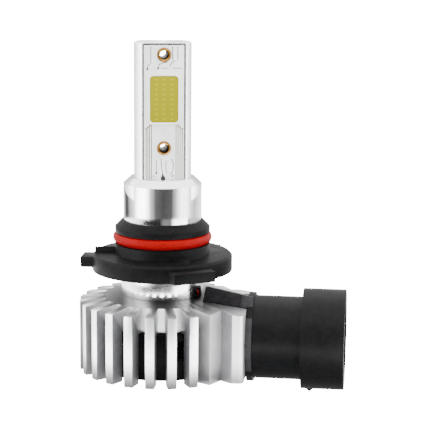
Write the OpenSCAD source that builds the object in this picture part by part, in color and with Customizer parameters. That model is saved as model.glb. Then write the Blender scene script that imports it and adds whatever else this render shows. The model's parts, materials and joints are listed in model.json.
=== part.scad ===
// Fan-cooled LED headlight bulb with a twist-lock base and a side connector.
// Origin: centre of the base's seating face, the plane that rests on the lamp housing.
// +Z runs up the light column, +X points out of the side connector. Millimetres.

/* [Light column] */
// Radius of the mast's round sides
mast_r = 6.6; // [6.4:0.1:6.8]
// Height of the mast's top above the seating face
mast_top = 49; // [48:0.2:51]
// Distance from the axis to each flat side of the mast
flat_y = 4.3; // [4.2:0.1:4.5]
// Angle of the mast's front flat from the sink's front, seen from above
mast_turn = 12.5; // [0:0.5:20]
// Radius of the polished collar
collar_r = 9.05; // [9:0.05:9.1]
// Height of the collar's top face
collar_top = 18; // [17.6:0.2:19]
// Height of the collar's lower chamfer edge
collar_chamfer = 16.5; // [15.8:0.1:16.8]
// Radius of the neck under the base
neck_r = 9.7; // [9.6:0.1:9.8]

/* [Light boards] */
// Width of a board
board_w = 9.1; // [8.8:0.1:9.2]
// Thickness of a board
board_t = 0.95; // [0.8:0.05:0.95]
// Height of the middle of the light field
cob_z = 36.3; // [35:0.2:38]
// Width of the yellow field
cob_w = 6.4; // [6:0.1:6.6]
// Height of the yellow field
cob_h = 10.5; // [10:0.1:11]

/* [Base] */
// Radius of the locating neck above the flange
base_neck_r = 11; // [10.9:0.1:11.2]
// Radius of the flange
flange_r = 16.3; // [16:0.1:16.6]
// Thickness of the flange
flange_t = 3.8; // [3.7:0.1:4.1]
// Distance from the axis to the outer face of each lug
lug_reach = 18.9; // [18.6:0.1:19.6]
// Width of the two wide lugs
lug_w = 10; // [9:0.1:11]
// Width of the narrow lug
narrow_lug_w = 5.7; // [5:0.1:7]
// Thickness of the seal ring along the axis
seal_h = 2.5; // [2.3:0.1:2.6]

/* [Heat sink] */
// Radius over the fin tips
sink_r = 19.4; // [19:0.1:19.8]
// Thickness of a fin
fin_t = 2.1; // [1.8:0.1:2.3]
// Height of the sink's underside
sink_bottom = -27.4; // [-27.6:0.1:-27.2]
// Drop of the top face for each millimetre away from the neck
top_slope = 0.155; // [0.14:0.005:0.165]

/* [Connector] */
// Height of the connector's axis
plug_z = -19.4; // [-19.6:0.1:-19.2]
// Radius of the barrel
barrel_r = 9.7; // [9.5:0.05:9.8]
// Radius of the thick rim
rim_r = 11.7; // [11.3:0.1:11.9]
// Distance from the lamp axis to the connector's mouth
mouth_x = 43; // [42:0.2:44]

/* [Hidden] */
$fn = 96;

slip = 0.05;            // running clearance on a radius
snug = 0.02;            // gap between pieces that are pressed together
big = 60;               // longer than anything that is cut

// column
collar_top_r = 7.45;
mast_chamfer = 0.3;
shoulder_z = -flange_t - slip;
sink_top = -9.5;
tail_r = 7;
web_bottom = -11.5;
pocket_w = board_w + 0.45;
pocket_depth = 1;
pocket_top = mast_top - 0.3;
slot_bottom = 12.4;
board_face = flat_y - pocket_depth + board_t;
board_bottom = slot_bottom + 0.2;
board_top = pocket_top - 0.25;
rivet_z = [46.3, 25.1];
rivet_bore_r = 0.95;
rivet_tube_r = 1.15;
rivet_head_r = 1.65;
rivet_head_t = 0.32;
wire_hole_y = 3.9;
wire_hole_r = 1.1;
led_wire_r = 0.45;
led_wire_x = 0.52;
column_screw_circle = 8.35;
column_screw_angles = [30, 150, 270];
seal_groove_r = 7.8;
seal_groove_h = 1.5;
inner_seal_t = 1.2;

// light field
dam_t = 0.6;
dam_h = 0.55;
cob_corner = 0.8;
dice_t = 0.12;
die_size = 0.55;
dice_columns = 3;
dice_rows = 9;
dice_pitch = [1.75, 1.12];
phosphor_t = 0.36;

// base
seal_z = 3.83;
seal_reach = 11.5;
seal_floor = 9.95;
neck_shoulder = 6.4;
neck_top = 8;
neck_top_r = 9.4;
flange_edge = 0.5;
lug_z = [-3.45, -1.05];
lugs = [[-59, lug_w], [67.5, lug_w], [181, narrow_lug_w]];
ramps = [[-56, 14.4], [78, 14.4], [187, flange_r - flange_edge - 0.1]];
ramp_len = 3.1;
ramp_h = 1.3;

// sink
hub_r = 13.8;
fan_bay_r = 15.8;
fan_bay_top = -15.8;
board_seat_z = -14.1;
driver_bay_r = 12.1;
driver_ledge_r = 11.7;
fin_count = 24;
fin_step = 360 / fin_count;
block_span = 45;        // the connector block replaces the fins between these angles
wall_in = 17.2;
wall_out = 20.4;
wall_half = 12.4;
wall_round = 1.3;
groove_x = 15.1;
groove_y = 10.5;
notch_x = 18.6;
notch_half = 6.5;
notch_floor = -12.6;
power_holes = [[10.9, -2.3], [10.95, -0.9]];
power_wire_r = 0.5;

// fan
fan_screw_circle = 14;
fan_top = -16;
fan_bottom = -26.6;
frame_r = 15.4;
frame_wall = 0.7;
frame_plate = 1;
blade_tip_r = 12.2;
hub_cup_r = 7.6;
blade_count = 9;
blade_pitch = 42;
blade_t = 0.7;
rotor_bottom = -26.1;
rotor_rim = -18.4;
rotor_floor = 0.9;
yoke_r = 6.9;
magnet_r = 6.4;
magnet_in = 5.6;
core_r = 5.2;
core_z = [-23.6, -20.4];
tube_r = 2;
bearing_r = 1.6;
shaft_r = 0.6;

// connector
shell_back = wall_out + slip;
plate_t = 1.45;
plate_r = 10.4;
rim_back = 33.1;
step_x = 36.5;
cavity_r = 8.2;
mouth_r = 8.5;
carrier_front = 26;
blade_y = 3;
blade_w = 2.8;
blade_t2 = 0.8;
blade_tip = 36;
plug_screw_y = 6.2;
cover_front = -6.5;
cover_rear = 0.1;
cover_crest = [11, -6.35];  // x and height of the cover's upper front corner
cover_fall = [12.4, 11];    // how far the roof leans to the rear and to the right
cover_foot = 10.35;
duct = [-2.95, -0.15];      // sides of the passage for the power wires
wire_cut = [17.5, -12.1];   // inner end and floor of the sink's cut for those wires
joint_x = [18.62, 19.5];    // where the hook meets the cover, at its foot and at its crest
joint_z = [-10.7, -8];
hook_half = 5.9;
hook_rear = 0.5;
hook_low = -10.7;

// ---- shared shapes ----

module at_angles(angles) {
    for (a = angles) rotate([0, 0, a]) children();
}

// Part of a cylinder between two heights.
module drum(r, low, high) {
    translate([0, 0, low]) cylinder(r = r, h = high - low);
}

// Ring between two radii and two heights.
module ring(r_in, r_out, low, high) {
    difference() {
        drum(r_out, low, high);
        drum(r_in, low - 1, high + 1);
    }
}

// Cylinder along +X at a height, from one x to another.
module rod_x(r, x0, x1, y = 0, z = plug_z) {
    translate([x0, y, z]) rotate([0, 90, 0]) cylinder(r = r, h = x1 - x0);
}

// Box from its low corner to its high corner.
module box(low, high) {
    translate(low) cube(high - low);
}

// Rectangle with round corners, centred.
module rounded(w, h, r) {
    square([w - 2 * r, h], center = true);
    square([w, h - 2 * r], center = true);
    for (x = [-1, 1], y = [-1, 1])
        translate([x * (w / 2 - r), y * (h / 2 - r)]) circle(r = r);
}

// Insulated wire through points, with ball-shaped bends.
module wire(points, r) {
    for (i = [0 : len(points) - 2]) {
        step = points[i + 1] - points[i];
        length = norm(step);
        translate(points[i])
            rotate([0, acos(step[2] / length), atan2(step[1], step[0])])
                cylinder(r = r, h = length, $fn = 24);
        if (i > 0) translate(points[i]) sphere(r = r * 1.06, $fn = 32);
    }
}

// Screw along +Z with its head's underside at z = 0 and its point up.
module screw(shank_r, length, head_r, head_h) {
    cylinder(r = shank_r, h = length, $fn = 32);
    difference() {
        translate([0, 0, -head_h]) cylinder(r = head_r, h = head_h, $fn = 48);
        for (a = [0, 90]) rotate([0, 0, a])
            translate([-head_r * 0.6, -head_r * 0.12, -head_h - 1])
                cube([head_r * 1.2, head_r * 0.24, 1 + head_h / 2]);
    }
}

// Height of the sink's sloping top face at a distance from the axis.
function top_z(r) = sink_top - (r - neck_r) * top_slope;

// Everything above the sink's sloping top face, outside the neck.
module above_top(lift = 0) {
    far = 40;
    rotate_extrude()
        polygon([
            [0, sink_top + lift], [neck_r, sink_top + lift], [far, top_z(far) + lift],
            [far, 20], [0, 20]
        ]);
}

// ---- light column and its boards ----

// The front flat faces -Y; the rear one is the same, half a turn away.
module mast_frame() {
    rotate([0, 0, mast_turn]) children();
}

module both_flats() {
    for (a = [0, 180]) rotate([0, 0, a]) children();
}

module light_column() {
    color("gainsboro") mast_frame() difference() {
        union() {
            intersection() {
                rotate_extrude()
                    polygon([
                        [0, 0], [mast_r, 0], [mast_r, mast_top - mast_chamfer],
                        [mast_r - mast_chamfer, mast_top], [0, mast_top]
                    ]);
                box([-mast_r, -flat_y, 0], [mast_r, flat_y, mast_top]);
            }
            rotate_extrude()
                polygon([
                    [0, web_bottom], [tail_r - snug, web_bottom], [tail_r - snug, sink_top],
                    [neck_r, sink_top], [neck_r, shoulder_z], [collar_r, shoulder_z],
                    [collar_r, collar_chamfer], [collar_top_r, collar_top], [0, collar_top]
                ]);
        }
        ring(seal_groove_r, collar_r + 1, -seal_groove_h / 2, seal_groove_h / 2);
        both_flats() {
            box([-pocket_w / 2, -flat_y - 0.1, slot_bottom],
                [pocket_w / 2, -flat_y + pocket_depth, pocket_top]);
            translate([0, -wire_hole_y, 0]) drum(wire_hole_r, web_bottom - 1, slot_bottom + 0.5);
        }
        for (z = rivet_z) translate([0, 0, z]) rotate([90, 0, 0])
            cylinder(r = rivet_tube_r + snug, h = big, center = true);
        at_angles(column_screw_angles) translate([column_screw_circle, 0, 0])
            drum(0.8, sink_top - 1, -5.8);
    }
}

module inner_seal_ring() {
    color("black") rotate_extrude()
        translate([collar_r - inner_seal_t / 2, 0]) circle(r = inner_seal_t / 2, $fn = 32);
}

module led_board() {
    color("white") difference() {
        box([-board_w / 2, -board_face, board_bottom],
            [board_w / 2, -board_face + board_t, board_top]);
        for (z = rivet_z) translate([0, 0, z]) rotate([90, 0, 0])
            cylinder(r = rivet_tube_r + snug, h = big, center = true);
    }
}

// Extrudes a drawing out of the board's face, which is at -Y.
module on_board(out, thick) {
    translate([0, -board_face - out, cob_z]) rotate([90, 0, 0]) linear_extrude(thick) children();
}

module cob_dam() {
    color("whitesmoke") on_board(0, dam_h) difference() {
        rounded(cob_w + 2 * dam_t, cob_h + 2 * dam_t, cob_corner + dam_t);
        rounded(cob_w, cob_h, cob_corner);
    }
}

module led_dice() {
    color("gold") on_board(0, dice_t)
        for (i = [0 : dice_columns - 1], j = [0 : dice_rows - 1])
            translate([
                (i - (dice_columns - 1) / 2) * dice_pitch[0],
                (j - (dice_rows - 1) / 2) * dice_pitch[1]
            ]) square(die_size, center = true);
}

module phosphor() {
    color("yellow") on_board(dice_t, phosphor_t)
        rounded(cob_w - 2 * snug, cob_h - 2 * snug, cob_corner);
}

module board_rivets() {
    color("goldenrod") mast_frame() for (z = rivet_z)
        translate([0, 0, z]) rotate([90, 0, 0]) difference() {
            union() {
                cylinder(r = rivet_tube_r, h = 2 * board_face, center = true);
                for (s = [-1, 1]) translate([0, 0, s * (board_face + rivet_head_t / 2)])
                    cylinder(r = rivet_head_r, h = rivet_head_t, center = true);
            }
            cylinder(r = rivet_bore_r, h = big, center = true);
        }
}

module led_wires() {
    color("red") mast_frame() both_flats() for (x = [-1, 1])
        translate([x * led_wire_x, -wire_hole_y, 0])
            drum(led_wire_r, board_seat_z, board_bottom);
}

// ---- base ----

module base_adapter() {
    low = seal_z - seal_h / 2 - 0.08;
    high = seal_z + seal_h / 2 + 0.08;
    color("dimgray") difference() {
        union() {
            rotate_extrude()
                polygon([
                    [collar_r + slip, -flange_t], [flange_r, -flange_t],
                    [flange_r, -flange_edge], [flange_r - flange_edge, 0], [base_neck_r, 0],
                    [base_neck_r, low], [seal_floor, low], [seal_floor, high],
                    [base_neck_r, high], [base_neck_r, neck_shoulder],
                    [neck_top_r, neck_top], [collar_r + slip, neck_top]
                ]);
            for (lug = lugs) rotate([0, 0, lug[0]])
                box([flange_r - 2, -lug[1] / 2, lug_z[0]], [lug_reach, lug[1] / 2, lug_z[1]]);
            for (ramp = ramps) rotate([0, 0, ramp[0]])
                translate([base_neck_r - 0.3, 0, 0]) rotate([90, 0, 90])
                    linear_extrude(ramp[1] - base_neck_r + 0.3)
                        polygon([[-ramp_len, -0.2], [0, -0.2], [0, ramp_h], [-ramp_len, 0.05]]);
        }
    }
}

module seal_ring() {
    color("red") rotate_extrude() intersection() {
        translate([seal_reach - seal_h / 2, seal_z]) circle(r = seal_h / 2, $fn = 48);
        translate([seal_floor + snug, seal_z - seal_h]) square([seal_h, 2 * seal_h]);
    }
}

// ---- heat sink ----

// Outline of the connector block on one side, from the fin it ends in to the outer wall.
function block_side(side) = let (tip = block_span + asin(fin_t / 2 / sink_r)) concat(
    [
        [0, side * hub_r / 2], [sink_r * cos(tip), side * sink_r * sin(tip)],
        [groove_x, side * groove_y], [wall_in, side * (wall_half - 0.2)],
        [wall_in + 0.6, side * wall_half]
    ],
    [for (a = [90 : -18 : 0]) [
        wall_out - wall_round * (1 - cos(a)), side * (wall_half - wall_round * (1 - sin(a)))
    ]]
);

module block(low, high) {
    upper = block_side(1);
    lower = block_side(-1);
    translate([0, 0, low]) linear_extrude(high - low)
        polygon(concat(upper, [for (i = [len(lower) - 1 : -1 : 0]) lower[i]]));
}

module fins(low, high) {
    intersection() {
        at_angles([block_span + fin_step : fin_step : 360 - block_span - fin_step / 2])
            box([hub_r - 1, -fin_t / 2, low], [sink_r + 1, fin_t / 2, high]);
        drum(sink_r, low - 1, high + 1);
    }
}

module heat_sink() {
    color("silver") difference() {
        union() {
            drum(hub_r, sink_bottom, sink_top);
            fins(sink_bottom, sink_top);
            block(sink_bottom, sink_top);
        }
        above_top();
        drum(fan_bay_r, sink_bottom - 1, fan_bay_top);
        drum(driver_bay_r, sink_bottom, board_seat_z);
        drum(driver_ledge_r, sink_bottom, web_bottom);
        drum(tail_r, sink_bottom, 0);
        box([notch_x, -notch_half, notch_floor], [wall_out + 1, notch_half, 0]);
        // the notch's edge is cut back where the power wires go over it
        box([wire_cut[0], duct[0], wire_cut[1]], [notch_x + 1, duct[1], 0]);
        for (hole = power_holes)
            translate([hole[0], hole[1], 0]) drum(power_wire_r + 0.1, web_bottom - 1, 0);
        for (y = [-1, 1]) rod_x(0.8, 15.6, wall_out + 1, y * plug_screw_y);
        at_angles([0, 90, 180, 270]) translate([fan_screw_circle, 0, 0])
            drum(0.62, fan_bay_top - 1, -12.4);
        mast_frame() at_angles(column_screw_angles) translate([column_screw_circle, 0, 0])
            drum(1, web_bottom - 1, 0);
    }
}

module column_screws() {
    color("silver") mast_frame() at_angles(column_screw_angles)
        translate([column_screw_circle, 0, web_bottom - snug]) screw(0.78, 5.4, 1.5, 0.9);
}

// ---- driver ----

module driver_board() {
    color("green") difference() {
        drum(driver_bay_r - 0.15, board_seat_z - 0.8, board_seat_z);
        for (a = [60, 240]) rotate([0, 0, a]) translate([10.6, 0, 0])
            drum(0.5, -20, 0);
    }
}

module driver_inductor() {
    color("dimgray") difference() {
        drum(2.5, board_seat_z, board_seat_z + 2);
        ring(1.7, 3, board_seat_z + 0.5, board_seat_z + 1.5);
    }
}

module driver_capacitors() {
    color("tan") for (p = [[-8, 3.2], [-8, -3.2], [5.2, 8.2], [5.2, -8.2]])
        box([p[0] - 1.6, p[1] - 0.8, board_seat_z], [p[0] + 1.6, p[1] + 0.8, board_seat_z + 1.1]);
}

module driver_chips() {
    color("black") {
        box([-7, -1.9, board_seat_z], [-3.4, 1.9, board_seat_z + 1.3]);
        box([4, -1.3, board_seat_z], [8.2, 1.3, board_seat_z + 1]);
        box([-3.2, 8.4, board_seat_z], [-0.4, 10, board_seat_z + 0.8]);
    }
}

module driver_cover() {
    color("black") difference() {
        drum(driver_bay_r - 0.1, fan_bay_top, fan_bay_top + 0.6);
        for (a = [60, 240]) rotate([0, 0, a]) translate([10.6, 0, 0]) drum(0.5, -20, 0);
    }
}

// ---- fan ----

module fan_frame() {
    tube_end = -24.2;
    window_low = fan_bottom + 5;
    window_high = fan_top - frame_plate - 0.6;
    color("black") difference() {
        union() {
            drum(frame_r, fan_top - frame_plate, fan_top);
            ring(frame_r - frame_wall, frame_r, fan_bottom, fan_top);
            ring(blade_tip_r + 0.5, frame_r, fan_bottom, fan_bottom + 1.2);
            drum(tube_r, tube_end, fan_top);
            at_angles([0, 90, 180, 270]) translate([fan_screw_circle, 0, 0])
                drum(1.25, fan_bottom, fan_top);
        }
        drum(bearing_r + snug, tube_end - 1, fan_top - frame_plate);
        at_angles([0, 90, 180, 270]) translate([fan_screw_circle, 0, 0]) {
            drum(0.7, fan_bottom - 1, 0);
            drum(1.15, fan_bottom - 1, fan_bottom + 0.8);
        }
        for (a = [0 : 90 : 270], b = [30, 60]) rotate([0, 0, a + b])
            box([frame_r - 2, -2.9, window_low], [frame_r + 1, 2.9, window_high]);
        for (a = [60, 240]) rotate([0, 0, a]) translate([10.6, 0, 0]) drum(0.5, -20, 0);
    }
}

module fan_screws() {
    color("silver") at_angles([0, 90, 180, 270])
        translate([fan_screw_circle, 0, fan_bottom + 0.8 - snug]) screw(0.6, 13, 1.1, 0.7);
}

module fan_circuit_board() {
    color("green") ring(tube_r + snug, 6.2, fan_top - frame_plate - 0.9, fan_top - frame_plate - 0.2);
}

module stator_core() {
    arm = 1.5;
    color("gray") difference() {
        union() {
            drum(2.9, core_z[0], core_z[1]);
            intersection() {
                drum(core_r, core_z[0], core_z[1]);
                union() {
                    at_angles([0, 90]) box([-core_r, -arm / 2, core_z[0]], [core_r, arm / 2, core_z[1]]);
                    difference() {
                        drum(core_r, core_z[0], core_z[1]);
                        drum(4.5, core_z[0] - 1, 0);
                        at_angles([45, 135]) box([-9, -0.6, -30], [9, 0.6, 0]);
                    }
                }
            }
        }
        drum(tube_r + snug, -30, 0);
    }
}

module stator_coils() {
    color("peru") at_angles([0, 90, 180, 270]) difference() {
        box([3, -1.7, core_z[0] - 0.8], [4.1, 1.7, core_z[1] + 0.8]);
        box([2.5, -0.77, core_z[0] - snug], [5, 0.77, core_z[1] + snug]);
    }
}

module fan_bearing() {
    color("goldenrod") ring(shaft_r + slip / 2, bearing_r, -23.8, fan_top - frame_plate - 0.6);
}

module fan_wires() {
    color("black") for (a = [60, 240]) rotate([0, 0, a])
        wire([[10.6, 0, board_seat_z - 0.8], [10.6, 0, -17.6], [6.2 + 0.35, 0, -17.6]], 0.35);
}

module rotor_impeller() {
    mid = (rotor_bottom + rotor_rim) / 2;
    height = rotor_rim - rotor_bottom - 1;
    color("black") {
        rotate_extrude()
            polygon([
                [shaft_r, rotor_bottom + 0.3], [shaft_r, rotor_bottom + rotor_floor + 0.6],
                [1.3, rotor_bottom + rotor_floor + 0.6], [1.3, rotor_bottom + rotor_floor],
                [yoke_r + snug, rotor_bottom + rotor_floor], [yoke_r + snug, rotor_rim],
                [hub_cup_r, rotor_rim], [hub_cup_r, rotor_bottom + 0.4],
                [hub_cup_r - 0.4, rotor_bottom], [0, rotor_bottom], [0, rotor_bottom + 0.3]
            ]);
        intersection() {
            ring(hub_cup_r - 0.2, blade_tip_r, rotor_bottom, rotor_rim);
            at_angles([0 : 360 / blade_count : 359])
                translate([(hub_cup_r + blade_tip_r) / 2, 0, mid]) rotate([blade_pitch, 0, 0])
                    cube([blade_tip_r - hub_cup_r + 3, blade_t, height], center = true);
        }
    }
}

module rotor_yoke() {
    low = rotor_bottom + rotor_floor + snug;
    color("silver") rotate_extrude()
        polygon([
            [1.4, low], [yoke_r, low], [yoke_r, rotor_rim + 0.3], [magnet_r, rotor_rim + 0.3],
            [magnet_r, low + 0.5], [1.4, low + 0.5]
        ]);
}

module rotor_magnet() {
    color("dimgray") ring(magnet_in, magnet_r - snug, core_z[0] - 0.6, core_z[1] + 0.8);
}

module rotor_shaft() {
    color("silver") drum(shaft_r - 0.005, rotor_bottom + 0.3, fan_top - frame_plate - 0.7);
}

module rotor_label() {
    color("lightgray") drum(hub_cup_r - 1.2, rotor_bottom - 0.1, rotor_bottom);
}

// ---- connector and its wiring ----

// Everything above the leaning roof that the cover and the hook share.
module above_roof(depth = 0) {
    translate([cover_crest[0], cover_front, cover_crest[1] - depth])
        rotate([-cover_fall[0], cover_fall[1], 0]) translate([-big / 2, -big / 2, 0])
            cube([big, big, big]);
}

// Outline in x and z pulled along y.
module slab(points, y0, y1) {
    translate([0, y1, 0]) rotate([90, 0, 0]) linear_extrude(y1 - y0) polygon(points);
}

module wire_cover() {
    gap = 3 * snug;
    color("black") difference() {
        slab([
            [cover_foot, -14], [cover_foot, -9.9], cover_crest, [cover_crest[0], 0],
            [joint_x[1] - gap, 0], [joint_x[1] - gap, joint_z[1]],
            [joint_x[0] - gap, joint_z[0]], [joint_x[0] - gap, -14]
        ], cover_front, cover_rear);
        above_roof();
        // the passage under it, open at both ends
        difference() {
            box([cover_foot - 1, duct[0], -14], [joint_x[1] + 1, duct[1], 0]);
            above_roof(0.4);
        }
        rotate_extrude()
            polygon([[0, -20], [30, -20], [30, top_z(30) + snug], [0, top_z(0) + snug]]);
    }
}

module power_wire(hole, side) {
    x = hole[0];
    y = hole[1];
    wire([
        [x, y, board_seat_z], [x, y, -8.9], [18.1, y, -10.1], [19.3, y, -11.45],
        [23.5, y, -11.45], [23.5, side * blade_y, -15.7],
        [23.5, side * blade_y, plug_z + blade_w / 2]
    ], power_wire_r);
}

module power_wire_positive() {
    color("red") power_wire(power_holes[0], -1);
}

module power_wire_negative() {
    color("black") power_wire(power_holes[1], 1);
}

module connector_shell() {
    plate_front = shell_back + plate_t;
    color("dimgray") difference() {
        union() {
            rod_x(plate_r, shell_back, plate_front);
            rod_x(barrel_r, shell_back, rim_back + 1);
            rod_x(rim_r, rim_back, mouth_x);
            // hook that drops into the notch of the sink's outer wall
            box([joint_x[0], -hook_half, notch_floor + snug], [shell_back + 0.2, hook_half, hook_low]);
            difference() {
                slab([
                    [joint_x[0], notch_floor + snug], [joint_x[0], joint_z[0]],
                    [joint_x[1], joint_z[1]], [joint_x[1], 0], [plate_front, 0],
                    [plate_front, plug_z + 5], [shell_back, plug_z + 5],
                    [shell_back, notch_floor + snug]
                ], -hook_half, hook_rear);
                above_roof();
            }
            // tooth that the mating plug's latch snaps over
            translate([34.1, 1.5, plug_z - rim_r]) rotate([90, 0, 0]) linear_extrude(3)
                polygon([[0, 0.4], [0, 0], [0.9, -0.8], [1.8, 0], [1.8, 0.4]]);
        }
        rod_x(cavity_r, plate_front, step_x + 1);
        rod_x(mouth_r, step_x, mouth_x + 1);
        box([notch_x - 1, duct[0], -12.1], [shell_back + 0.3, duct[1], -9.8]);
        box([shell_back, duct[0], -12.1], [24.4, duct[1], -10.8]);
        for (y = [-1, 1]) rod_x(1.1, shell_back - 1, plate_front + 1, y * plug_screw_y);
    }
    // key rib on the cavity's wall
    difference() {
        box([carrier_front + 0.5, -0.7, plug_z - cavity_r - 0.3],
            [step_x - 0.2, 0.7, plug_z - cavity_r + 0.9]);
        difference() {
            rod_x(cavity_r + 3, 20, 40);
            rod_x(cavity_r + 0.1, 19, 41);
        }
    }
}

module contact_carrier() {
    back = shell_back + plate_t + snug;
    color("black") difference() {
        rod_x(cavity_r - slip, back, carrier_front);
        box([22.6, -3.7, plug_z - 1.9], [24.4, 3.7, plug_z + cavity_r]);
        box([back - 1, duct[0], -12.1], [22.7, duct[1], plug_z + cavity_r]);
        for (y = [-1, 1]) {
            rod_x(1.1, back - 1, carrier_front + 1, y * plug_screw_y);
            rod_x(1.85, carrier_front - 1.1, carrier_front + 1, y * plug_screw_y);
            box([22.6, y * blade_y - blade_t2 / 2, plug_z - blade_w / 2],
                [carrier_front + 1, y * blade_y + blade_t2 / 2, plug_z + blade_w / 2]);
        }
    }
}

module blade_contacts() {
    color("goldenrod") for (y = [-1, 1])
        translate([0, y * blade_y + blade_t2 / 2, plug_z]) rotate([90, 0, 0])
            linear_extrude(blade_t2)
                polygon([
                    [22.9, -blade_w / 2], [blade_tip - 1, -blade_w / 2], [blade_tip, -blade_w / 4],
                    [blade_tip, blade_w / 4], [blade_tip - 1, blade_w / 2], [22.9, blade_w / 2]
                ]);
}

module connector_screws() {
    color("silver") for (y = [-1, 1])
        translate([carrier_front - 1.1 + snug, y * plug_screw_y, plug_z]) rotate([0, -90, 0])
            screw(0.78, 8.2, 1.75, 1);
}

module front() {
    mast_frame() children();
}

module rear() {
    mast_frame() rotate([0, 0, 180]) children();
}

light_column();
front() led_board();  // led_board_front
rear() led_board();  // led_board_rear
front() cob_dam();  // cob_dam_front
rear() cob_dam();  // cob_dam_rear
front() led_dice();  // led_dice_front
rear() led_dice();  // led_dice_rear
front() phosphor();  // phosphor_front
rear() phosphor();  // phosphor_rear
board_rivets();
led_wires();
inner_seal_ring();
base_adapter();
seal_ring();
heat_sink();
column_screws();
driver_board();
driver_inductor();
driver_capacitors();
driver_chips();
driver_cover();
fan_frame();
fan_screws();
fan_circuit_board();
stator_core();
stator_coils();
fan_bearing();
fan_wires();
rotor_impeller();
rotor_yoke();
rotor_magnet();
rotor_shaft();
rotor_label();
wire_cover();
power_wire_positive();
power_wire_negative();
connector_shell();
contact_carrier();
blade_contacts();
connector_screws();
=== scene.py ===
"""Looks for the LED headlight bulb: camera, light, materials and softened pieces round the CAD frame.

Millimetres are turned into metres with MM. Angles about the lamp axis are in degrees.
"""

import json
import math

import bmesh
import bpy
from mathutils import Matrix, Vector


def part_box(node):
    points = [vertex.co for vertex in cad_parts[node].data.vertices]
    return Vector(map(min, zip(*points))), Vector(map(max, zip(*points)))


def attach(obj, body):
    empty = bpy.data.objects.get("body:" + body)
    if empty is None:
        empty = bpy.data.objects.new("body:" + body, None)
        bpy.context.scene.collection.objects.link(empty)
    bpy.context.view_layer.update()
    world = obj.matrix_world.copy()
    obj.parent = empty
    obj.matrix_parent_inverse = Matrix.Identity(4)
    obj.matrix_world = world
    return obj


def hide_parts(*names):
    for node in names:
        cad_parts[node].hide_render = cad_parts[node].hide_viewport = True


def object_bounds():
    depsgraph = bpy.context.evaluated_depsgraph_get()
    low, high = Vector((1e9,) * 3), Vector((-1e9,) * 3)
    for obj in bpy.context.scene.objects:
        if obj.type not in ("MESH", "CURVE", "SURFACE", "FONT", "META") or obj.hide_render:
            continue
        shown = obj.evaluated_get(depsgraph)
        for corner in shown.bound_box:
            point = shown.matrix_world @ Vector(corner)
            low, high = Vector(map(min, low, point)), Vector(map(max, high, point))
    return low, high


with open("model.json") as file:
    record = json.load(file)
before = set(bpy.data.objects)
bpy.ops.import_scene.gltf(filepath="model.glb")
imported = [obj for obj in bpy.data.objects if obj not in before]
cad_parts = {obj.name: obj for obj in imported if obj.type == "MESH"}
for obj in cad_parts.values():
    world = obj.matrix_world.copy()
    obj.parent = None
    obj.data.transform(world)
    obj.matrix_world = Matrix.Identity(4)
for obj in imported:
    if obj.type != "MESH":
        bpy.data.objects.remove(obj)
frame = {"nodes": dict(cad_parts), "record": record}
start_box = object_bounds()

MM = 0.001

# ---------------------------------------------------------------- camera

CAMERA_TURN = 8.5  # degrees from the sink's front towards the connector
CAMERA_DISTANCE = 350 * MM
CAMERA_HEIGHT = 75.7 * MM
CAMERA_YAW = 2.34  # to the right, so that the lamp axis stands left of the middle
CAMERA_PITCH = 11.14
CAMERA_ROLL = 0.54
CAMERA_LENS = 123.2


def add_camera():
    turn, yaw = math.radians(CAMERA_TURN), math.radians(CAMERA_YAW)
    pitch, roll = math.radians(CAMERA_PITCH), math.radians(CAMERA_ROLL)
    towards = Vector((-math.sin(turn), math.cos(turn), 0))
    right = Vector((math.cos(turn), math.sin(turn), 0))
    ahead = towards * math.cos(yaw) + right * math.sin(yaw)
    right = right * math.cos(yaw) - towards * math.sin(yaw)
    look = ahead * math.cos(pitch) - Vector((0, 0, math.sin(pitch)))
    up = right.cross(look)
    x_axis = right * math.cos(roll) + up * math.sin(roll)
    y_axis = up * math.cos(roll) - right * math.sin(roll)
    data = bpy.data.cameras.new("camera")
    data.lens = CAMERA_LENS
    data.sensor_width = 36
    data.clip_start = 0.01
    camera = bpy.data.objects.new("camera", data)
    rotation = Matrix((x_axis, y_axis, -look)).transposed().to_4x4()
    place = Vector((
        CAMERA_DISTANCE * math.sin(turn), -CAMERA_DISTANCE * math.cos(turn), CAMERA_HEIGHT
    ))
    camera.matrix_world = Matrix.Translation(place) @ rotation
    bpy.context.scene.collection.objects.link(camera)
    bpy.context.scene.camera = camera


add_camera()

# ---------------------------------------------------------------- node helpers


def linear(code):
    """Linear colour and full alpha from an sRGB hex code."""
    parts = [int(code[i : i + 2], 16) / 255 for i in (0, 2, 4)]
    return (*[p / 12.92 if p <= 0.04045 else ((p + 0.055) / 1.055) ** 2.4 for p in parts], 1.0)


def add(tree, kind, settings=None, values=None, links=None):
    """Adds a node. settings are its properties, values its inputs, links sockets into its inputs."""
    node = tree.nodes.new(kind)
    for key, value in (settings or {}).items():
        setattr(node, key, value)
    for key, value in (values or {}).items():
        node.inputs[key].default_value = value
    for key, socket in (links or {}).items():
        tree.links.new(socket, node.inputs[key])
    return node


def new_material(name):
    """An empty material, its tree, its Principled shader and its Object coordinates."""
    material = bpy.data.materials.new(name)
    material.use_nodes = True
    tree = material.node_tree
    tree.nodes.clear()
    shader = add(tree, "ShaderNodeBsdfPrincipled")
    add(tree, "ShaderNodeOutputMaterial", links={"Surface": shader.outputs[0]})
    coords = add(tree, "ShaderNodeTexCoord").outputs["Object"]
    return material, tree, shader, coords


def ramp(tree, factor, stops):
    """Colour ramp from (position, colour) stops."""
    node = add(tree, "ShaderNodeValToRGB", links={"Fac": factor})
    elements = node.color_ramp.elements
    while len(elements) < len(stops):
        elements.new(0.5)
    for element, (position, colour) in zip(elements, stops):
        element.position = position
        element.color = colour
    return node.outputs["Color"]


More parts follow.
